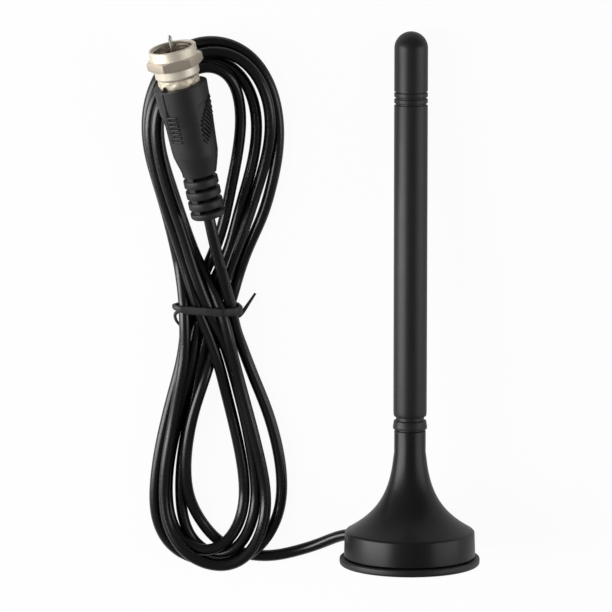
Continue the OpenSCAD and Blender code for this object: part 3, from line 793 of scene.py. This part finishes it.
skin = boot_profile() + [(BOOT_R, z) for z in np.arange(BOOT + 0.16, GRIP_TOP - 0.4, 0.16)]
skin += softened([(GRIP_END_R, GRIP_TOP - 0.35), (GRIP_END_R, GRIP_TOP, 0.28), (4.8, GRIP_TOP),
                  (4.6, GRIP_TOP)])
skin += [(3.05, GRIP_TOP), (3.05, 24), (2.65, 24), (2.65, 19.4), (LEAD_HOLE, 19.4)]
sleeve_of_plug = lathe("plug_sleeve", skin, PLUG, "grip_plastic", "base", sides=120,
                       fine_at=(SEAM, SEAM + math.pi), shape=grip_shape, replaces=("plug_grip",))


def slot_cutters(slots=4, outside=6):
    """Two arcs a slot, which leave a spine down each mould line."""
    verts, faces = [], []
    for slot in range(slots):
        top = BOOT - slot * SLOT_PITCH
        for side in (0, math.pi):
            arc = [SEAM + side + 0.26 + (math.pi - 0.46) * k / 28 for k in range(29)]
            ring = ([(SLOT_FLOOR * math.cos(a), SLOT_FLOOR * math.sin(a)) for a in arc]
                    + [(outside * math.cos(a), outside * math.sin(a)) for a in arc[::-1]])
            v, f = prism(ring, top - SLOT_W + 0.02, top - 0.02)
            faces += [tuple(k + len(verts) for k in face) for face in f]
            verts += v
    return verts, faces


cut(sleeve_of_plug, *slot_cutters(), PLUG)
dress(sleeve_of_plug, "grip_plastic", 50)


# ---- Ribs and thread, made by geometry nodes ----
class Plan:
    """A geometry tree whose sizes are named inputs."""

    def __init__(self, name, sizes):
        self.tree = bpy.data.node_groups.new(name, "GeometryNodeTree")
        face = self.tree.interface
        face.new_socket("Geometry", in_out="INPUT", socket_type="NodeSocketGeometry")
        face.new_socket("Geometry", in_out="OUTPUT", socket_type="NodeSocketGeometry")
        for size, kind in sizes.items():
            face.new_socket(size, in_out="INPUT", socket_type="NodeSocket" + kind)
        self.given = self.tree.nodes.new("NodeGroupInput")
        self.result = self.tree.nodes.new("NodeGroupOutput")

    def size(self, name):
        return self.given.outputs[name]

    def node(self, kind, settings=None, sockets=None, out=0):
        made = self.tree.nodes.new(kind)
        for key, value in (settings or {}).items():
            setattr(made, key, value)
        for key, value in (sockets or {}).items():
            if isinstance(value, bpy.types.NodeSocket):
                self.tree.links.new(value, made.inputs[key])
            else:
                made.inputs[key].default_value = value
        return made.outputs[out]

    def maths(self, operation, first, second):
        return self.node("ShaderNodeMath", {"operation": operation}, {0: first, 1: second})

    def finish(self, geometry):
        solid = self.node("GeometryNodeRealizeInstances", None, {0: geometry})
        painted = self.node("GeometryNodeSetMaterial", None, {0: solid, "Material": self.size("Material")})
        self.tree.links.new(painted, self.result.inputs[0])

    def build(self, name, at, finish, body, **sizes):
        """Runs the tree in the frame at, and leaves a plain mesh there."""
        o = placed(name, bpy.data.meshes.new(name))
        m = o.modifiers.new("plan", "NODES")
        m.node_group = self.tree
        ids = {item.name: item.identifier for item in self.tree.interface.items_tree
               if item.in_out == "INPUT"}
        for key, value in {**sizes, "Material": FINISHES[finish]}.items():
            m[ids[key.replace("_", " ")]] = value
        plain_mesh(o)
        o.data.transform(at)
        facing_out(o.data)
        dress(o, finish, 45)
        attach(o, body)


def rib_plan():
    """Ridges round a tapered body, inside a rounded panel, level or slanting."""
    p = Plan("ribs", {"Count": "Int", "Pitch": "Float", "Start": "Float", "Radius": "Float", "Taper": "Float",
                      "Middle angle": "Float", "Half angle": "Float", "Half height": "Float",
                      "Slant": "Float", "Thickness": "Float", "Material": "Material"})
    points = p.node("GeometryNodeMeshLine", None, {
        "Count": p.size("Count"),
        "Start Location": p.node("ShaderNodeCombineXYZ", None, {2: p.size("Start")}),
        "Offset": p.node("ShaderNodeCombineXYZ", None, {2: p.size("Pitch")})})
    before = p.maths("MULTIPLY", p.size("Half angle"), 1.02)
    arc = p.node("GeometryNodeCurveArc", None, {
        "Resolution": 40, "Radius": 1.0,
        "Start Angle": p.maths("SUBTRACT", p.size("Middle angle"), before),
        "Sweep Angle": p.maths("MULTIPLY", p.size("Half angle"), 2.04)})
    arcs = p.node("GeometryNodeRealizeInstances", None, {
        0: p.node("GeometryNodeInstanceOnPoints", None, {"Points": points, "Instance": arc})})
    place = p.node("GeometryNodeInputPosition")
    x, y, z = (p.node("ShaderNodeSeparateXYZ", None, {0: place}, out=k) for k in range(3))
    turned = p.maths("SUBTRACT", p.maths("ARCTAN2", y, x), p.size("Middle angle"))
    turned = p.node("ShaderNodeMath", {"operation": "WRAP"}, {0: turned, 1: math.pi, 2: -math.pi})
    middle = p.maths("ADD", p.size("Start"), p.maths(
        "MULTIPLY", p.size("Pitch"), p.maths("MULTIPLY", p.maths("SUBTRACT", p.size("Count"), 1.0), 0.5)))
    height = p.maths("ADD", z, p.maths("MULTIPLY", turned, p.size("Slant")))
    off = p.maths("SUBTRACT", height, middle)
    radius = p.maths("ADD", p.size("Radius"), p.maths("MULTIPLY", off, p.size("Taper")))
    moved = p.node("GeometryNodeSetPosition", None, {
        0: arcs, "Position": p.node("ShaderNodeCombineXYZ", None, {
            0: p.maths("MULTIPLY", x, radius), 1: p.maths("MULTIPLY", y, radius), 2: height})})
    oval = p.maths("ADD", p.maths("POWER", p.maths("DIVIDE", turned, p.size("Half angle")), 4.0),
                   p.maths("POWER", p.maths("DIVIDE", off, p.size("Half height")), 4.0))
    outside = p.node("FunctionNodeCompare", {"operation": "GREATER_THAN"}, {0: oval, 1: 1.0})
    kept = p.node("GeometryNodeDeleteGeometry", {"domain": "POINT"}, {0: moved, "Selection": outside})
    ring = p.node("GeometryNodeCurvePrimitiveCircle", None, {"Resolution": 10, "Radius": p.size("Thickness")})
    p.finish(p.node("GeometryNodeCurveToMesh", None, {0: kept, "Profile Curve": ring, "Fill Caps": True}))
    return p


def thread_plan():
    """A screw thread's ridge, as a turned spiral."""
    p = Plan("thread", {"Turns": "Float", "Radius": "Float", "Length": "Float", "Depth": "Float",
                        "Material": "Material"})
    coil = p.node("GeometryNodeCurveSpiral", None, {
        "Resolution": 40, "Rotations": p.size("Turns"), "Start Radius": p.size("Radius"),
        "End Radius": p.size("Radius"), "Height": p.size("Length")})
    ridge = p.node("GeometryNodeCurvePrimitiveCircle", None, {"Resolution": 6, "Radius": p.size("Depth")})
    p.finish(p.node("GeometryNodeCurveToMesh", None, {0: coil, "Profile Curve": ridge, "Fill Caps": True}))
    return p


OVAL_PITCH, OVAL_COUNT = 1.22, 13
ribs = rib_plan()
for side, middle, half in (("left", -145, 7), ("right", -123, 12)):
    ribs.build("thumb_ribs_" + side, PLUG, "grip_plastic", "base", Count=7, Pitch=0.985, Start=20.0,
               Radius=grip_radius(22.9, math.radians(middle)) + 0.12, Taper=0.075,
               Middle_angle=math.radians(middle), Half_angle=math.radians(half), Half_height=7.5,
               Slant=0.0, Thickness=0.32)
ribs.build("oval_ribs", PLUG, "grip_plastic", "base", Count=OVAL_COUNT, Pitch=OVAL_PITCH,
           Start=OVAL[1] - OVAL_COUNT // 2 * OVAL_PITCH,
           Radius=grip_radius(OVAL[1], OVAL[0]) + 0.10, Taper=0.05, Middle_angle=OVAL[0],
           Half_angle=math.radians(26), Half_height=3.5, Slant=-7.0, Thickness=0.30)

# ---- Metal end ----
SHELL_TOP, STEM_BORE, GROOVE_R = 34.0, 2.45, 3.6


def collar_shape(r, z, angle):
    """Makes the collar's outside a little uneven, as crimped and plated."""
    if r < 4.2 or z > SHELL_TOP + 1:
        return r, z
    lump = (0.07 * math.sin(5 * angle + 0.6 + 2 * z) + 0.05 * math.sin(9 * angle + 1.9 - 3 * z)
            + 0.03 * math.sin(17 * angle + 4 * z))
    return r + lump, z


lathe("plug_body", softened([
    (STEM_BORE, 25.05), (3, 24.05), (3, GRIP_TOP + 0.01), (4.55, GRIP_TOP + 0.01, 0.1), (4.68, 32.5),
    (4.72, 32.9), (4.66, 33.3), (4.7, 33.7, 0.15), (4.5, SHELL_TOP, 0.15), (GROOVE_R, SHELL_TOP, 0.05),
    (GROOVE_R, 36.3), (4.3, 36.3, 0.05), (4.3, 37, 0.1), (STEM_BORE, 37, 0.08)], 4),
    PLUG, "collar_nickel", "base", sides=144, shape=collar_shape, replaces=("connector_body",))

SKIRT, HEX0, HEX1, NUT_TOP = NUT_Z, NUT_Z + 2.1, NUT_Z + 4.5, NUT_Z + 6.7
FLAT = 5.5  # from the axis to a flat
CORNER = FLAT / math.cos(math.radians(30))
SEAT_R, SEAT_TOP, BORE_R, SKIRT_R, BARREL_R = 3.65, 36.15, 4.75, 5.05, 5.4
nut = lathe("nut", softened([
    (SEAT_R, SKIRT, 0.08), (4.85, SKIRT, 0.15), (SKIRT_R, SKIRT + 0.35, 0.2), (SKIRT_R, HEX0, 0.06),
    (FLAT - 0.05, HEX0, 0.05), (CORNER, HEX0 + 0.4, 0.06), (CORNER, HEX1 - 0.4, 0.06),
    (FLAT - 0.05, HEX1, 0.05), (BARREL_R, HEX1, 0.04), (BARREL_R, NUT_TOP - 0.2, 0.1), (5.2, NUT_TOP, 0.1),
    (4.95, NUT_TOP, 0.08), (BORE_R, NUT_TOP - 0.3), (BORE_R, SEAT_TOP), (SEAT_R, SEAT_TOP, 0.08)], 4),
    PLUG, "nickel", "nut", sides=144, replaces=("connector_nut",))


def beside_flat(k, outside=8, overlap=0.001):
    """The metal outside one flat of the hexagon."""
    middle, half = HEX_TURN + math.radians(30 + 60 * k), math.radians(29.99)
    near, far = FLAT / math.cos(half), outside / math.cos(half)
    corners = [(reach * math.cos(middle + turn), reach * math.sin(middle + turn))
               for reach, turn in ((near, -half), (far, -half), (far, half), (near, half))]
    return prism(corners, HEX0 - overlap, HEX1 + overlap)


for k in range(6):
    cut(nut, *beside_flat(k), PLUG)
bevel = nut.modifiers.new("edges", "BEVEL")
bevel.width = 0.13 * MM
bevel.segments = 2
bevel.limit_method = "ANGLE"
bevel.angle_limit = math.radians(28)
plain_mesh(nut)
dress(nut, "nickel", 24)
thread_plan().build("nut_thread", PLUG @ Matrix.Translation((0, 0, 36.5)), "nickel", "nut",
                    Turns=5.0, Radius=4.72, Length=4.0, Depth=0.26)


# ---- Tie ----
STRAP_SECTION = ((-1, -1), (0, -1.25), (1, -1), (1, 1), (0, 1.25), (-1, 1))
TAIL = [(-40.2, -3.6, 3.6), (-39.3, -4.7, 3.2), (-38.6, -4.4, 3.0), (-37.9, -3.6, 2.8), (-36.6, -1.8, 2.2),
        (-35.2, 0.2, 1.5)]
STUB = [(-52.6, -3.3, 3.6), (-53.5, -4.4, 3.0), (-53.4, -5.6, 2.6), (-52.9, -6.6, 2.2), (-52.2, -7.5, 1.8)]


def hull(points):
    """The convex outline round a set of points."""
    pts = sorted(map(tuple, points))

    def half(seq):
        out = []
        for p in seq:
            while len(out) > 1 and ((out[-1][0] - out[-2][0]) * (p[1] - out[-2][1])
                                    - (out[-1][1] - out[-2][1]) * (p[0] - out[-2][0])) <= 0:
                out.pop()
            out.append(p)
        return out[:-1]
    return half(pts) + half(pts[::-1])


def tie_band():
    """A strap drawn tight round every strand, a little aslant and pinched to a point on the left."""
    near = line[:-PLUG_HELD][np.abs(line[:-PLUG_HELD, 1] - TIE_Y) < TIE_W / 2 + 0.4]
    reach = LEAD_D / 2 + 0.04
    ring = hull([(x + reach * math.cos(a), z + reach * math.sin(a))
                 for x, _, z in near[::2] for a in np.linspace(0, 2 * math.pi, 25)[:-1]])
    loop = np.array(ring + ring[:1])
    run = np.r_[0, np.cumsum(np.linalg.norm(np.diff(loop, axis=0), axis=1))]
    at = np.linspace(0, run[-1], 201)[:-1]
    loop = np.stack([np.interp(at, run, loop[:, k]) for k in (0, 1)], 1)
    out = np.roll(loop, -1, 0) - np.roll(loop, 1, 0)
    out = np.stack([out[:, 1], -out[:, 0]], 1)
    out /= np.linalg.norm(out, axis=1)[:, None]
    low, high = loop[:, 0].min(), loop[:, 0].max()
    verts, faces = [], []
    half = TIE_W / 2
    section = softened([(0, -half), (TIE_T, -half, 0.24), (TIE_T, half, 0.24), (0, half)], 3)
    m, n = len(section), len(loop)
    for (x, z), (ox, oz) in zip(loop, out):
        pinch = max(0, 1 - (x - low) / 2.2) ** 1.5
        end = max(0, 1 - (high - x) / 1.5) ** 1.5
        for d, w in section:
            verts.append((x + ox * d - 0.7 * pinch + 0.3 * end,
                          TIE_Y + w * (1 - 0.55 * pinch) - 0.035 * (x + 46) + 0.35 * pinch,
                          max(z + oz * d, 0.0)))
    for i in range(n):
        faces += quads(i, (i + 1) % n, m)
    return verts, faces


def strap(points, widths, thick, turn):
    """A flat strip along a line, turned about it as it goes."""
    path = evened(through(points, 0.25), 0.25)
    n = len(path)
    verts = []
    tangent = np.gradient(path, axis=0)
    tangent /= np.linalg.norm(tangent, axis=1)[:, None]
    for i, (p, t) in enumerate(zip(path, tangent)):
        u = np.cross(t, (0, 0, 1.0))
        u /= np.linalg.norm(u)
        v = np.cross(t, u)
        a = math.radians(np.interp(i, [0, n - 1], turn))
        u, v = u * math.cos(a) + v * math.sin(a), v * math.cos(a) - u * math.sin(a)
        half = np.interp(i, np.linspace(0, n - 1, len(widths)), widths) / 2
        for x, y in STRAP_SECTION:
            verts.append(p + u * half * x + v * thick / 2 * y)
    sides = len(STRAP_SECTION)
    faces = [face for i in range(n - 1) for face in quads(i, i + 1, sides)]
    return verts, faces + caps(n, sides)


piece("tie_band", *tie_band(), "tie_plastic", "base", sharp=50, replaces=("cable_tie",))
piece("tie_tail", *strap(TAIL, (1.1, 0.9, 0.7, 0.65), 0.45, (10, 75)), "tie_plastic", "base", sharp=60)
piece("tie_stub", *strap(STUB, (1.0, 0.7, 0.55, 0.4), 0.4, (70, 20)), "tie_plastic", "base", sharp=60)

# ---- Pieces that keep their own shape ----
KEPT = {
    "base_pad": "pad_foam", "magnet": "magnet", "magnet_cup": "plated_steel", "ground_plate": "brass",
    "threaded_insert": "brass", "core_wire": "copper", "braid_tail": "plated_steel",
    "cable_crimp": "plated_steel",
    "seal_washer": "foot_rubber", "whip_ferrule": "brass", "coil_former": "white_plastic",
    "loading_coil": "copper", "whip_rod": "plated_steel", "crimp_sleeve": "plated_steel",
    "contact_insulator": "white_plastic", "centre_pin": "pin_metal",
}
for node, finish in KEPT.items():
    o = frame["nodes"][node]
    if not o.material_slots:
        o.data.materials.append(None)
    for place in o.material_slots:
        place.material = FINISHES[finish]

tuple(c * MM for c in on_base(15.5))
